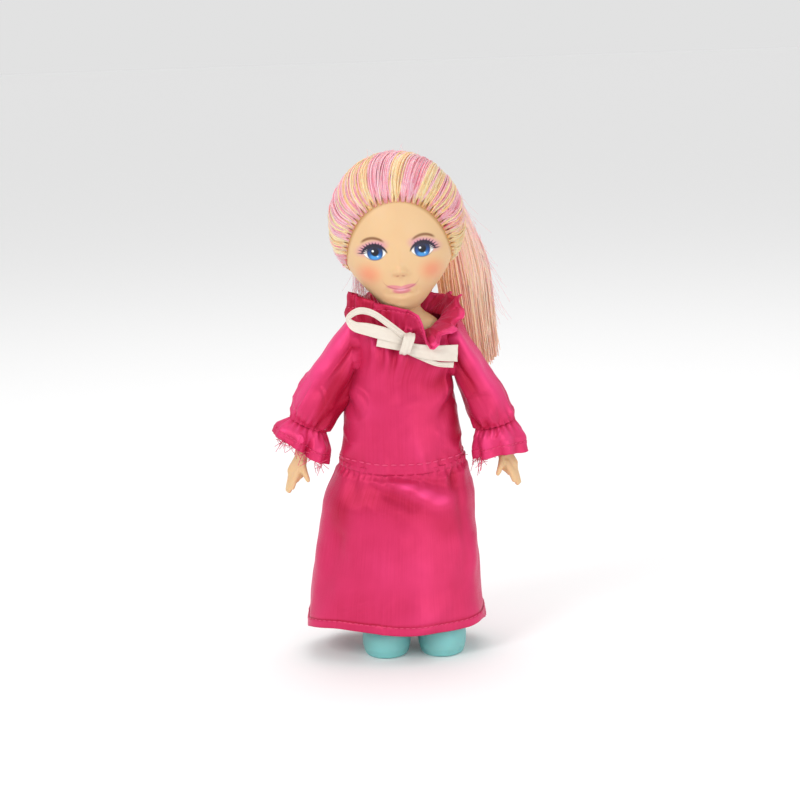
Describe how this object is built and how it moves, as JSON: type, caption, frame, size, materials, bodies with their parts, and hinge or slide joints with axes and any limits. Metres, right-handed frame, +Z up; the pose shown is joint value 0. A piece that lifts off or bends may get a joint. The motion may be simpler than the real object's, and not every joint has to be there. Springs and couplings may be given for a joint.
{
  "type": "fashion doll",
  "caption": "Small standing child fashion doll with a turning head, swinging arms and legs, rooted hair in a side tail, long satin gown, ribbon bow and slip-on shoes.",
  "frame": {"origin": "on the floor, in the middle of the overall box", "axes": "+Z up, the doll faces -Y, its left side is +X"},
  "size_m": [0.0716, 0.0409, 0.1379],
  "materials": {
    "vinyl_skin": "soft vinyl with a satin skin, painted features on the face",
    "hard_skin": "moulded hard plastic in skin colour",
    "hair": "shiny rooted nylon fibre, blonde with pink streaks",
    "elastic": "matt pink elastic",
    "satin": "crimson pink polyester satin with a soft sheen",
    "closure": "white hook-and-loop tape",
    "ribbon": "cream woven ribbon",
    "shoe": "soft matt teal vinyl"
  },
  "bodies": {
    "torso": {"torso_front": "hard_skin", "torso_back": "hard_skin", "neck_pin": "hard_skin", "hip_axle": "hard_skin", "bodice_front": "satin", "bodice_back_left": "satin", "bodice_back_right": "satin", "closure_loop_strip": "closure", "closure_hook_strip": "closure", "collar": "satin", "skirt": "satin", "bow_ribbon": "ribbon", "bow_knot": "ribbon"},
    "neck": {"neck_knob": "hard_skin"},
    "head": {"head": "vinyl_skin", "hair_cap": "hair", "hair_tie": "elastic", "ponytail": "hair"},
    "arm_left": {"arm_left": "vinyl_skin", "sleeve_left": "satin", "cuff_left": "satin"},
    "arm_right": {"arm_right": "vinyl_skin", "sleeve_right": "satin", "cuff_right": "satin"},
    "leg_left": {"leg_left": "vinyl_skin", "shoe_left": "shoe"},
    "leg_right": {"leg_right": "vinyl_skin", "shoe_right": "shoe"}
  },
  "joints": [
    {"name": "neck_nod", "type": "hinge", "parent": "torso", "child": "neck", "pos_m": [0.0018, -0.0012, 0.092], "axis": [1, 0, 0], "range_deg": [-6, 12]},
    {"name": "neck_turn", "type": "hinge", "parent": "neck", "child": "head", "pos_m": [0.0018, -0.0012, 0.097], "axis": [0, 0, 1], "range_deg": [-80, 80], "deforming": ["ponytail"]},
    {"name": "shoulder_left", "type": "hinge", "parent": "torso", "child": "arm_left", "pos_m": [0.0118, -0.0012, 0.083], "axis": [-1, 0, 0], "range_deg": [-45, 120]},
    {"name": "shoulder_right", "type": "hinge", "parent": "torso", "child": "arm_right", "pos_m": [-0.0082, -0.0012, 0.083], "axis": [-1, 0, 0], "range_deg": [-45, 120]},
    {"name": "hip_left", "type": "hinge", "parent": "torso", "child": "leg_left", "pos_m": [0.0095, -0.0012, 0.05], "axis": [-1, 0, 0], "range_deg": [-15, 85], "deforming": ["skirt"]},
    {"name": "hip_right", "type": "hinge", "parent": "torso", "child": "leg_right", "pos_m": [-0.0059, -0.0012, 0.05], "axis": [-1, 0, 0], "range_deg": [-15, 85]}
  ],
  "couplings": [
    {"joint": "hip_right", "follows": "hip_left", "ratio": 1}
  ]
}
